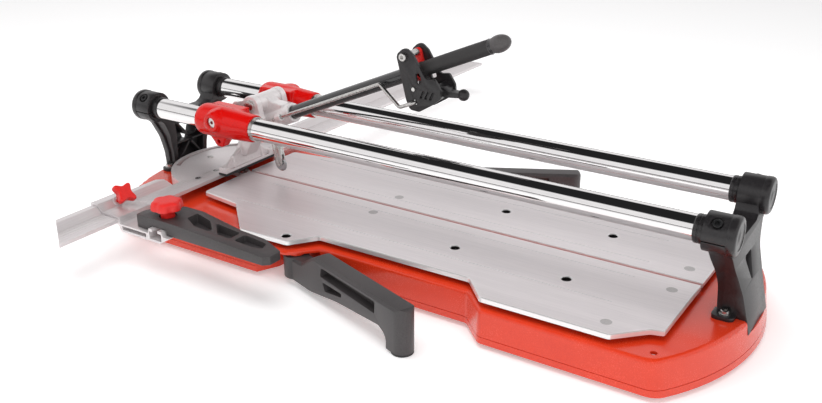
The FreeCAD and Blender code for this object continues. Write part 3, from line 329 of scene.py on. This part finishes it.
# ---- Rails ---------------------------------------------------------------------------------
# Ground and polished steel tubes, 30 mm across, under hard chrome: near a mirror, with the
# faintest drawing lines along them.
chrome = finish("hard_chrome", (0.86, 0.85, 0.85), (0.80, 0.79, 0.79), 0.05, 0.08, size=60,
                stretch=(1, 6, 6), bump=0.002, depth=0.00005, metallic=1.0)
wear(chrome, "front_rail", "rear_rail")

# ---- Towers --------------------------------------------------------------------------------
# Glass-filled nylon brackets, one at each end: two legs, a web with a window, and a clamp round
# each rail. The mould leaves rounded edges and a fine leathery skin.


def rounded_copy(node, name, width, segments=2, angle=30):
    """A CAD piece's shape with its edges broken by a width, as moulding or deburring leaves them."""
    bpy.ops.object.select_all(action="DESELECT")
    piece = nodes[node].copy()
    piece.data = nodes[node].data.copy()
    piece.parent = None
    piece.matrix_world = Matrix.Identity(4)
    piece.name = name
    piece.data.name = name
    piece.data.materials.clear()
    scene.collection.objects.link(piece)
    piece.select_set(True)
    bpy.context.view_layer.objects.active = piece
    bpy.ops.object.mode_set(mode="EDIT")
    bpy.ops.mesh.select_all(action="SELECT")
    bpy.ops.mesh.remove_doubles(threshold=0.00001)
    bpy.ops.mesh.dissolve_limited(angle_limit=math.radians(1))
    bpy.ops.object.mode_set(mode="OBJECT")
    edge = piece.modifiers.new("broken_edges", "BEVEL")
    edge.width = width * MM
    edge.segments = segments
    edge.limit_method = "ANGLE"
    edge.angle_limit = math.radians(angle)
    bpy.ops.object.modifier_apply(modifier=edge.name)
    bpy.ops.object.shade_smooth_by_angle(angle=math.radians(40))
    return piece


def take_over(piece, node, skin, body):
    """A new piece stands for a CAD node and moves with its body."""
    piece.data.materials.clear()
    piece.data.materials.append(skin)
    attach(piece, body)
    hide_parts(node)


nylon = finish("black_nylon", (0.022, 0.020, 0.021), (0.011, 0.010, 0.011), 0.28, 0.42, size=420,
               bump=0.16)
for side in ("right_tower", "left_tower"):
    take_over(rounded_copy(side, side + "_moulding", 0.7), side, nylon, "base")

# ---- Collars and end caps ------------------------------------------------------------------
# Rings turned in black nylon push on to each rail against its clamp, and a domed cap of the same
# closes the clamp's end.
RAIL_Y = 67.5
RAIL_Z = 159.0


def turned(name, steps, sides=64):
    """A turned solid along +Z. Each step is a height and a radius in millimetres, from the bottom up."""
    bpy.ops.object.select_all(action="DESELECT")
    height, radius = steps[0]
    bpy.ops.mesh.primitive_circle_add(vertices=sides, radius=radius * MM, fill_type="NGON",
                                      location=(0, 0, 0))
    piece = bpy.context.object
    piece.name = name
    piece.data.name = name
    bpy.ops.object.mode_set(mode="EDIT")
    bpy.ops.mesh.select_all(action="SELECT")
    bpy.ops.transform.translate(value=(0, 0, height * MM))
    for next_height, next_radius in steps[1:]:
        if next_height == height:
            bpy.ops.mesh.inset(thickness=(radius - next_radius) * MM)
        else:
            upwards = (0, 0, (next_height - height) * MM)
            bpy.ops.mesh.extrude_region_move(TRANSFORM_OT_translate={"value": upwards})
            factor = next_radius / radius
            bpy.ops.transform.resize(value=(factor, factor, 1), center_override=(0, 0, next_height * MM))
        height, radius = next_height, next_radius
    bpy.ops.mesh.select_all(action="SELECT")
    bpy.ops.mesh.normals_make_consistent(inside=False)
    bpy.ops.object.mode_set(mode="OBJECT")
    bpy.ops.object.shade_smooth_by_angle(angle=math.radians(38))
    return piece


def along(start, way):
    """Carries +Z to a direction and the origin to a start in millimetres."""
    turn = Vector((0, 0, 1)).rotation_difference(Vector(way)).to_matrix().to_4x4()
    return Matrix.Translation(Vector(start) * MM) @ turn


def twin(piece, name, matrix):
    """A copy with its own mesh, put in place."""
    other = piece.copy()
    other.data = piece.data.copy()
    other.name = name
    other.data.name = name
    scene.collection.objects.link(other)
    other.data.transform(matrix)
    if matrix.determinant() < 0:
        other.data.flip_normals()
    return other


def assemble(name, pieces):
    """Join like pieces into one object."""
    bpy.ops.object.select_all(action="DESELECT")
    for piece in pieces:
        piece.select_set(True)
    bpy.context.view_layer.objects.active = pieces[0]
    if len(pieces) > 1:
        bpy.ops.object.join()
    whole = bpy.context.object
    whole.name = name
    whole.data.name = name
    return whole


def drop(piece):
    """Throw away a pattern or tool once it has served."""
    bpy.data.objects.remove(piece, do_unlink=True)


collar = turned("collar", [(0, 15.05), (0, 18.6), (0.5, 19.4), (1.4, 20), (4.6, 20), (5.0, 19.5), (6.0, 19.5),
                           (6.4, 20), (10.8, 20), (11.5, 19.4), (11.5, 15.05)])
cap = turned("cap", [(0, 22.2), (0.8, 22.5), (6.0, 22.5), (8.4, 21.6), (9.6, 19.8), (10.0, 17.6),
                     (10.0, 15.6), (9.4, 15.0), (9.4, 6.0), (9.8, 5.2)])
RAIL_ENDS = ((1, 405, 442), (-1, -390, -427))   # way outwards, inner face of the collar and of the cap
collars, caps = [], []
for way, collar_x, cap_x in RAIL_ENDS:
    for front in (-1, 1):
        collars.append(twin(collar, "ring", along((collar_x, front * RAIL_Y, RAIL_Z), (way, 0, 0))))
        caps.append(twin(cap, "lid", along((cap_x, front * RAIL_Y, RAIL_Z), (way, 0, 0))))
drop(collar)
drop(cap)
satin_nylon = finish("satin_nylon", (0.022, 0.020, 0.021), (0.012, 0.011, 0.012), 0.24, 0.36, size=300,
                     bump=0.08)
take_over(assemble("rail_rings", collars), "rail_collars", satin_nylon, "base")
take_over(assemble("rail_lids", caps), "rail_end_caps", satin_nylon, "base")

# ---- Cap screws ----------------------------------------------------------------------------
# Socket-head screws, turned and broached: bright ones on washers hold the towers' feet, and black
# ones close the clamps.


def cut_away(piece, tools):
    """Remove the space of some tools from a piece."""
    for tool in tools:
        cut = piece.modifiers.new("cut", "BOOLEAN")
        cut.operation = "DIFFERENCE"
        cut.solver = "EXACT"
        cut.object = tool
        bpy.ops.object.select_all(action="DESELECT")
        piece.select_set(True)
        bpy.context.view_layer.objects.active = piece
        bpy.ops.object.modifier_apply(modifier=cut.name)
        drop(tool)


def cap_screw(name, radius, height, washer=0.0):
    """Head of a socket screw along +Z, with its hexagon sunk in."""
    steps = [(0, radius)]
    if washer:
        steps = [(-1.2, washer), (-0.2, washer), (0, washer - 0.3), (0, radius)]
    steps += [(height - 0.6, radius), (height, radius - 0.6)]
    head = turned(name, steps, 36)
    bpy.ops.mesh.primitive_cylinder_add(vertices=6, radius=radius * 0.55 * MM, depth=height * MM,
                                        location=(0, 0, height * 0.9 * MM))
    cut_away(head, [bpy.context.object])
    return head


TOWER_SCREWS_X = (441, -420)
TOWER_SCREW_Y = 42
WASHER_TOP = 54.7
bright_head = cap_screw("bright_head", 4.9, 4.0, 6.4)
heads = []
for x in TOWER_SCREWS_X:
    for y in (-TOWER_SCREW_Y, TOWER_SCREW_Y):
        heads.append(twin(bright_head, "screw", along((x, y, WASHER_TOP), (0, 0, 1))))
drop(bright_head)
take_over(assemble("tower_screw_heads", heads), "tower_screws", zinc, "base")
CLAMP_SCREWS_X = (430, -415)
CLAMP_RISE = math.radians(48)
CLAMP_SEAT = 19.05       # from the rail's axis out to the head's underside
dark_head = cap_screw("dark_head", 4.9, 3.5)
heads = []
for x in CLAMP_SCREWS_X:
    for front in (-1, 1):
        way = Vector((0, front * math.cos(CLAMP_RISE), math.sin(CLAMP_RISE)))
        seat = Vector((x, front * RAIL_Y, RAIL_Z)) + way * CLAMP_SEAT
        heads.append(twin(dark_head, "screw", along(seat, way)))
drop(dark_head)
take_over(assemble("clamp_screw_heads", heads), "rail_clamp_screws", black_oxide, "base")

# ---- Glides --------------------------------------------------------------------------------
# Two die-cast housings in glossy red that ride on the rails: a full shell that tapers to a neck
# round the bushing, a boss with the bushing's adjuster in it, and a lug below.


def cast_skin(piece, grid, passes, keep=0.5):
    """Melt joined solids into one casting with soft inner and outer corners."""
    bpy.ops.object.select_all(action="DESELECT")
    piece.select_set(True)
    bpy.context.view_layer.objects.active = piece
    skin = piece.modifiers.new("skin", "REMESH")
    skin.mode = "VOXEL"
    skin.voxel_size = grid * MM
    bpy.ops.object.modifier_apply(modifier=skin.name)
    soft = piece.modifiers.new("soft", "SMOOTH")
    soft.factor = 0.5
    soft.iterations = passes
    bpy.ops.object.modifier_apply(modifier=soft.name)
    lean = piece.modifiers.new("lean", "DECIMATE")
    lean.ratio = keep
    bpy.ops.object.modifier_apply(modifier=lean.name)
    bpy.ops.object.shade_smooth()


def slab(name, low, high, taper=(1.0, 1.0)):
    """A block between two corners in millimetres. Its top may be narrower or wider than its foot."""
    bpy.ops.object.select_all(action="DESELECT")
    low, high = Vector(low) * MM, Vector(high) * MM
    middle = (low + high) / 2
    bpy.ops.mesh.primitive_cube_add(size=1, location=middle)
    piece = bpy.context.object
    piece.name = name
    piece.scale = high - low
    bpy.ops.object.transform_apply(location=True, rotation=True, scale=True)
    if taper != (1.0, 1.0):
        bpy.ops.object.mode_set(mode="EDIT")
        bpy.ops.mesh.select_all(action="DESELECT")
        bpy.ops.object.mode_set(mode="OBJECT")
        for polygon in piece.data.polygons:
            polygon.select = polygon.normal.z > 0.9
        bpy.ops.object.mode_set(mode="EDIT")
        bpy.ops.mesh.select_mode(type="FACE")
        bpy.ops.transform.resize(value=(*taper, 1), center_override=(middle[0], middle[1], high[2]))
        bpy.ops.object.mode_set(mode="OBJECT")
    return piece


EYE = (-272, -RAIL_Y, RAIL_Z + 5)    # the adjuster's hole, and the boss round it
LUG_HOLE = (-275, -40, 132)
shell_steps = [(-311, 15), (-310.6, 18.4), (-308.6, 20.8), (-305, 22.4), (-300, 23.0), (-284, 23.1),
               (-268, 22.7), (-250, 21.6), (-232, 20.4), (-218, 19.5), (-213, 19.1), (-212.2, 18.7),
               (-212, 17.9)]
on_rail = along((0, -RAIL_Y, RAIL_Z), (1, 0, 0))
shell = turned("shell", shell_steps, 72)
shell.data.transform(on_rail)
boss = turned("boss", [(0, 18), (12, 17), (20, 15.4), (24.6, 13.6), (26, 12)], 48)
boss.data.transform(along(EYE, (0, -1, 0)))
lug = slab("lug", (-280, -RAIL_Y - 8, 123.4), (-270, -RAIL_Y + 6, 146), (3.9, 1.5))
saddle = slab("saddle", (-306, -RAIL_Y, 146), (-238, -44.1, 180), (0.86, 1.0))
glide = assemble("front_glide_housing", [shell, boss, lug, saddle])
cast_skin(glide, 1.1, 6, 0.45)
bore = turned("bore", [(-340, 17.2), (-200, 17.2)], 64)
bore.data.transform(on_rail)
eye = turned("eye", [(19, 7.5), (40, 7.6)], 40)
eye.data.transform(along(EYE, (0, -1, 0)))
lug_hole = turned("lug_hole", [(0, 3.2), (80, 3.2)], 32)
lug_hole.data.transform(along(LUG_HOLE, (0, -1, 0)))
inner_face = slab("inner_face", (-345, -43.5, 100), (-195, 0, 210))
cut_away(glide, [bore, eye, lug_hole, inner_face])
bpy.ops.object.shade_smooth_by_angle(angle=math.radians(35))
other_glide = twin(glide, "rear_glide_housing", Matrix.Scale(-1, 4, (0, 1, 0)))
red_gloss = finish("red_gloss", (0.70, 0.005, 0.003), (0.58, 0.003, 0.002), 0.16, 0.26, size=500, bump=0.05,
                   depth=0.0001, coat=0.15)
red_gloss.node_tree.nodes["Principled BSDF"].inputs["Specular IOR Level"].default_value = 0.25
take_over(glide, "front_glide", red_gloss, "carriage")
take_over(other_glide, "rear_glide", red_gloss, "carriage")
wear(zinc, "glide_bushings", "glide_adjusters", "glide_bolts")

# ---- Carriage casting ----------------------------------------------------------------------
# Raw aluminium bridge between the glides: two cheeks hold the lever's axle and two ears the foot.
# It leaves the mould with soft corners and a dull, blasted skin.


def casting_from(node, name, grid, passes, keep=0.5):
    """A CAD piece with the soft corners of a casting."""
    piece = rounded_copy(node, name, 0.01, 1, 60)
    cast_skin(piece, grid, passes, keep)
    return piece


raw_metal = finish("raw_aluminium", (0.90, 0.86, 0.86), (0.72, 0.69, 0.69), 0.30, 0.46, size=650, bump=0.22,
                   metallic=0.45)
take_over(casting_from("carriage_casting", "carriage_bridge", 0.8, 5), "carriage_casting", raw_metal,
          "carriage")
LEVER_AXLE = (-252, 0, 177)
axle_bolt = turned("lever_axle_bolt", [(-37, 6.6), (-36.4, 7.8), (-33, 8), (-32, 8), (-32, 6), (32, 6),
                                       (32.01, 8), (33, 8), (36.4, 7.8), (37, 6.6)], 48)
axle_bolt.data.transform(along(LEVER_AXLE, (0, 1, 0)))
take_over(axle_bolt, "lever_pivot_bolt", zinc, "carriage")
wear(zinc, "separator_pin")

# ---- Lever ---------------------------------------------------------------------------------
# A cast barrel turns on the axle, takes the lacquered steel tube in a socket, and reaches down to
# the steel tongue that forks over the carbide wheel.
take_over(casting_from("lever_casting", "lever_root", 0.7, 5), "lever_casting", raw_metal,
          "lever")
lacquer = finish("black_lacquer", (0.020, 0.020, 0.021), (0.014, 0.014, 0.015), 0.12, 0.22, size=240,
                 bump=0.03, coat=0.4)
wear(lacquer, "lever_tube")
take_over(rounded_copy("wheel_holder", "wheel_fork", 0.5), "wheel_holder", zinc, "lever")
wear(black_oxide, "holder_screw")
wear(zinc, "wheel_axle")
carbide = finish("ground_carbide", (0.46, 0.46, 0.47), (0.36, 0.36, 0.37), 0.16, 0.28, size=500, bump=0.04,
                 metallic=1.0)
wear(carbide, "scoring_wheel")

# ---- Grip ----------------------------------------------------------------------------------
# Rubber sleeve pushed on the tube, fine-pebbled along its barrel, with a lip at the trigger and a
# smooth bulb at the end that stops the hand.
TILT = math.radians(23.3)
LEVER_WAY = Vector((math.cos(TILT), 0, math.sin(TILT)))
LEVER_UP = Vector((-math.sin(TILT), 0, math.cos(TILT)))
TUBE_START = Vector((-207, 0, 164.5))
BULB = 364               # middle of the bulb, along the tube
BULB_R = 16


def on_lever(along_tube, above=0.0):
    """A point in the lever's middle plane, by its distances along the tube and above it."""
    return TUBE_START + LEVER_WAY * along_tube + LEVER_UP * above


grip_steps = [(243, 9.6), (243, 14.9), (243.6, 15.7), (244.4, 15.8), (246, 15.8), (246.8, 15.4),
              (247.2, 14.9), (262, 15.0), (290, 15.15), (320, 15.15), (340, 15.0), (350.2, 15.0), (351, 14.6)]
sleeve = turned("grip_sleeve", grip_steps, 72)
sleeve.data.transform(along(TUBE_START, LEVER_WAY))
pebbled = finish("pebbled_rubber", (0.034, 0.032, 0.032), (0.020, 0.019, 0.019), 0.48, 0.66, size=1100,
                 bump=0.5, depth=0.0004)
take_over(sleeve, "grip", pebbled, "lever")
bulb_steps = [(351, 9.6), (351, 14.0), (351.6, 14.7)]
for angle in range(-44, 84, 8):
    lean = math.radians(angle)
    bulb_steps.append((BULB + BULB_R * math.sin(lean), BULB_R * math.cos(lean)))
bulb = turned("grip_bulb", bulb_steps, 72)
bulb.data.transform(along(TUBE_START, LEVER_WAY))
smooth_rubber = finish("smooth_rubber", (0.090, 0.084, 0.085), (0.065, 0.060, 0.060), 0.34, 0.46, size=500,
                       bump=0.1)
take_over(bulb, "grip_end", smooth_rubber, "lever")
red_moulding = finish("red_moulding", (0.76, 0.022, 0.018), (0.64, 0.012, 0.010), 0.30, 0.42, size=420,
                      bump=0.10)
take_over(rounded_copy("tube_collar", "tube_clamp", 0.4), "tube_collar", red_moulding,
          "lever")

# ---- Trigger -------------------------------------------------------------------------------
# Moulded nylon lever that straddles the tube on a bright axle and ends in a finger ball. A bent
# steel rod links it to the carriage.
take_over(rounded_copy("trigger_lever", "trigger_moulding", 0.6), "trigger_lever", nylon,
          "trigger")
TRIGGER_PIVOT = on_lever(238.5, 23)
TRIGGER_HALF = 20        # half the width between the axle's two heads
axle_head = cap_screw("axle_head", 5.2, 5.0)
axle = []
for way in (1, -1):
    seat = TRIGGER_PIVOT + Vector((0, way * TRIGGER_HALF, 0))
    axle.append(twin(axle_head, "head", along(seat, (0, way, 0))))
drop(axle_head)
shank = turned("shank", [(-TRIGGER_HALF, 2.5), (TRIGGER_HALF, 2.5)], 32)
shank.data.transform(along(TRIGGER_PIVOT, (0, 1, 0)))
axle.append(shank)
take_over(assemble("trigger_axle_screws", axle), "trigger_axle", zinc, "trigger")
wear(zinc, "trigger_roller", "trigger_stop_pin", "control_rod")

# ---- Breaker foot --------------------------------------------------------------------------
# Cast aluminium wing, ribbed and gusseted, that comes down on the tile each side of the score
# through a strip of black rubber.
take_over(casting_from("separator_foot", "breaker_wing", 0.8, 4), "separator_foot", raw_metal,
          "separator")
take_over(rounded_copy("separator_pad", "breaker_rubber", 0.8), "separator_pad", foot_rubber,
          "separator")

# ---- Fence ---------------------------------------------------------------------------------
# Extruded ruler with drawn grooves, screwed to a cast half disc that swivels on the deck. Both
# are satin aluminium, the disc duller than the ruler.
drawn = finish("drawn_aluminium", (0.76, 0.72, 0.725), (0.68, 0.645, 0.65), 0.30, 0.42, size=200,
               stretch=(6, 0.1, 6), bump=0.05, metallic=0.5)
wear(drawn, "ruler")
wear(zinc, "ruler_screws", "disc_screw", "fence_pivot_bolt")
disc_metal = finish("disc_aluminium", (0.80, 0.755, 0.76), (0.69, 0.65, 0.655), 0.38, 0.52, size=500,
                    bump=0.12, metallic=0.45)
wear(disc_metal, "swivel_disc")

# ---- Stop ----------------------------------------------------------------------------------
# A sawn extrusion slides on the ruler and carries a ribbed nylon arm that squares the tile. Two
# red knobs lock the slider and the arm.
take_over(rounded_copy("stop_slider", "stop_sleeve", 0.25, 2, 25), "stop_slider", drawn,
          "stop")
grey_nylon = finish("grey_nylon", (0.062, 0.055, 0.056), (0.040, 0.036, 0.037), 0.38, 0.52, size=480,
                    bump=0.16)
take_over(rounded_copy("stop_arm", "stop_moulding", 0.8, 3), "stop_arm", grey_nylon, "stop")


def knob_head(name, lobes, radii, steps):
    """Moulded head: a ring whose radii repeat once a lobe, drawn up in steps and rounded over."""
    bpy.ops.object.select_all(action="DESELECT")
    widest = max(radii)
    bpy.ops.mesh.primitive_circle_add(vertices=lobes * len(radii), radius=widest * MM, fill_type="NGON",
                                      location=(0, 0, 0))
    head = bpy.context.object
    head.name = name
    for index, radius in enumerate(radii):
        bpy.ops.object.mode_set(mode="EDIT")
        bpy.ops.mesh.select_mode(type="VERT")
        bpy.ops.mesh.select_all(action="DESELECT")
        bpy.ops.object.mode_set(mode="OBJECT")
        for vertex in head.data.vertices:
            vertex.select = vertex.index % len(radii) == index
        bpy.ops.object.mode_set(mode="EDIT")
        factor = radius / widest
        bpy.ops.transform.resize(value=(factor, factor, 1), center_override=(0, 0, 0))
    bpy.ops.mesh.select_mode(type="FACE")
    bpy.ops.mesh.select_all(action="SELECT")
    for rise, spread in steps:
        bpy.ops.mesh.extrude_region_move(TRANSFORM_OT_translate={"value": (0, 0, rise * MM)})
        bpy.ops.transform.resize(value=(spread, spread, 1), center_override=(0, 0, 0))
    bpy.ops.mesh.select_all(action="SELECT")
    bpy.ops.mesh.normals_make_consistent(inside=False)
    bpy.ops.object.mode_set(mode="OBJECT")
    round_over = head.modifiers.new("round_over", "SUBSURF")
    round_over.levels = 2
    round_over.render_levels = 2
    bpy.ops.object.modifier_apply(modifier=round_over.name)
    bpy.ops.object.shade_smooth()
    return head


STAR_FOOT = Vector((-338.5, -216, 72.4))
STAR_WAY = Vector((0.72, 0, 0.69)).normalized()
STAR_RISE = 20.6         # from the ruler's slope up to the head
star_head = knob_head("star_head", 4, [9.6, 11.6, 16.8, 16.8, 11.6, 9.6],
                      [(0.8, 1.04), (7.0, 1.0), (1.2, 0.95), (0.01, 0.6)])
star_stem = turned("star_stem", [(-20, 3), (-7, 3), (-6.99, 6.2), (-6.2, 7), (0.6, 7.4)], 40)
star = assemble("star_knob_moulding", [star_head, star_stem])
star.data.transform(along(STAR_FOOT + STAR_WAY * STAR_RISE, STAR_WAY))
take_over(star, "star_knob", red_moulding, "star")
CLAMP_KNOB = (-234, -221, 0)
CLAMP_HEAD_LOW = 89
clamp_head = knob_head("clamp_head", 6, [17.4, 19.4, 20.6, 20.6, 19.4],
                       [(1.0, 1.05), (3.0, 0.99), (5.0, 0.97), (2.6, 0.90), (1.2, 0.72), (0.1, 0.6)])
clamp_head.data.transform(along((0, 0, CLAMP_HEAD_LOW), (0, 0, 1)))
clamp_stem = turned("clamp_stem", [(57, 5.5), (62, 5.5), (62.01, 3), (77, 3), (77.01, 8.6), (77.8, 9.4),
                                   (86, 9.4), (91, 12)], 48)
clamp = assemble("clamp_knob_moulding", [clamp_head, clamp_stem])
clamp.data.transform(along(CLAMP_KNOB, (0, 0, 1)))
take_over(clamp, "clamp_knob", red_moulding, "clamp")

# ---- Support arms --------------------------------------------------------------------------
# Moulded nylon arms that swing out of the waist to carry a long tile, each with slots moulded
# through it and a round post shod with rubber.
for side in ("front", "rear"):
    arm = rounded_copy(side + "_support_arm", side + "_arm_moulding", 0.9, 3)
    take_over(arm, side + "_support_arm", grey_nylon, side + "_arm")
wear(foot_rubber, "front_arm_pad", "rear_arm_pad")
wear(zinc, "arm_pivot_pins")
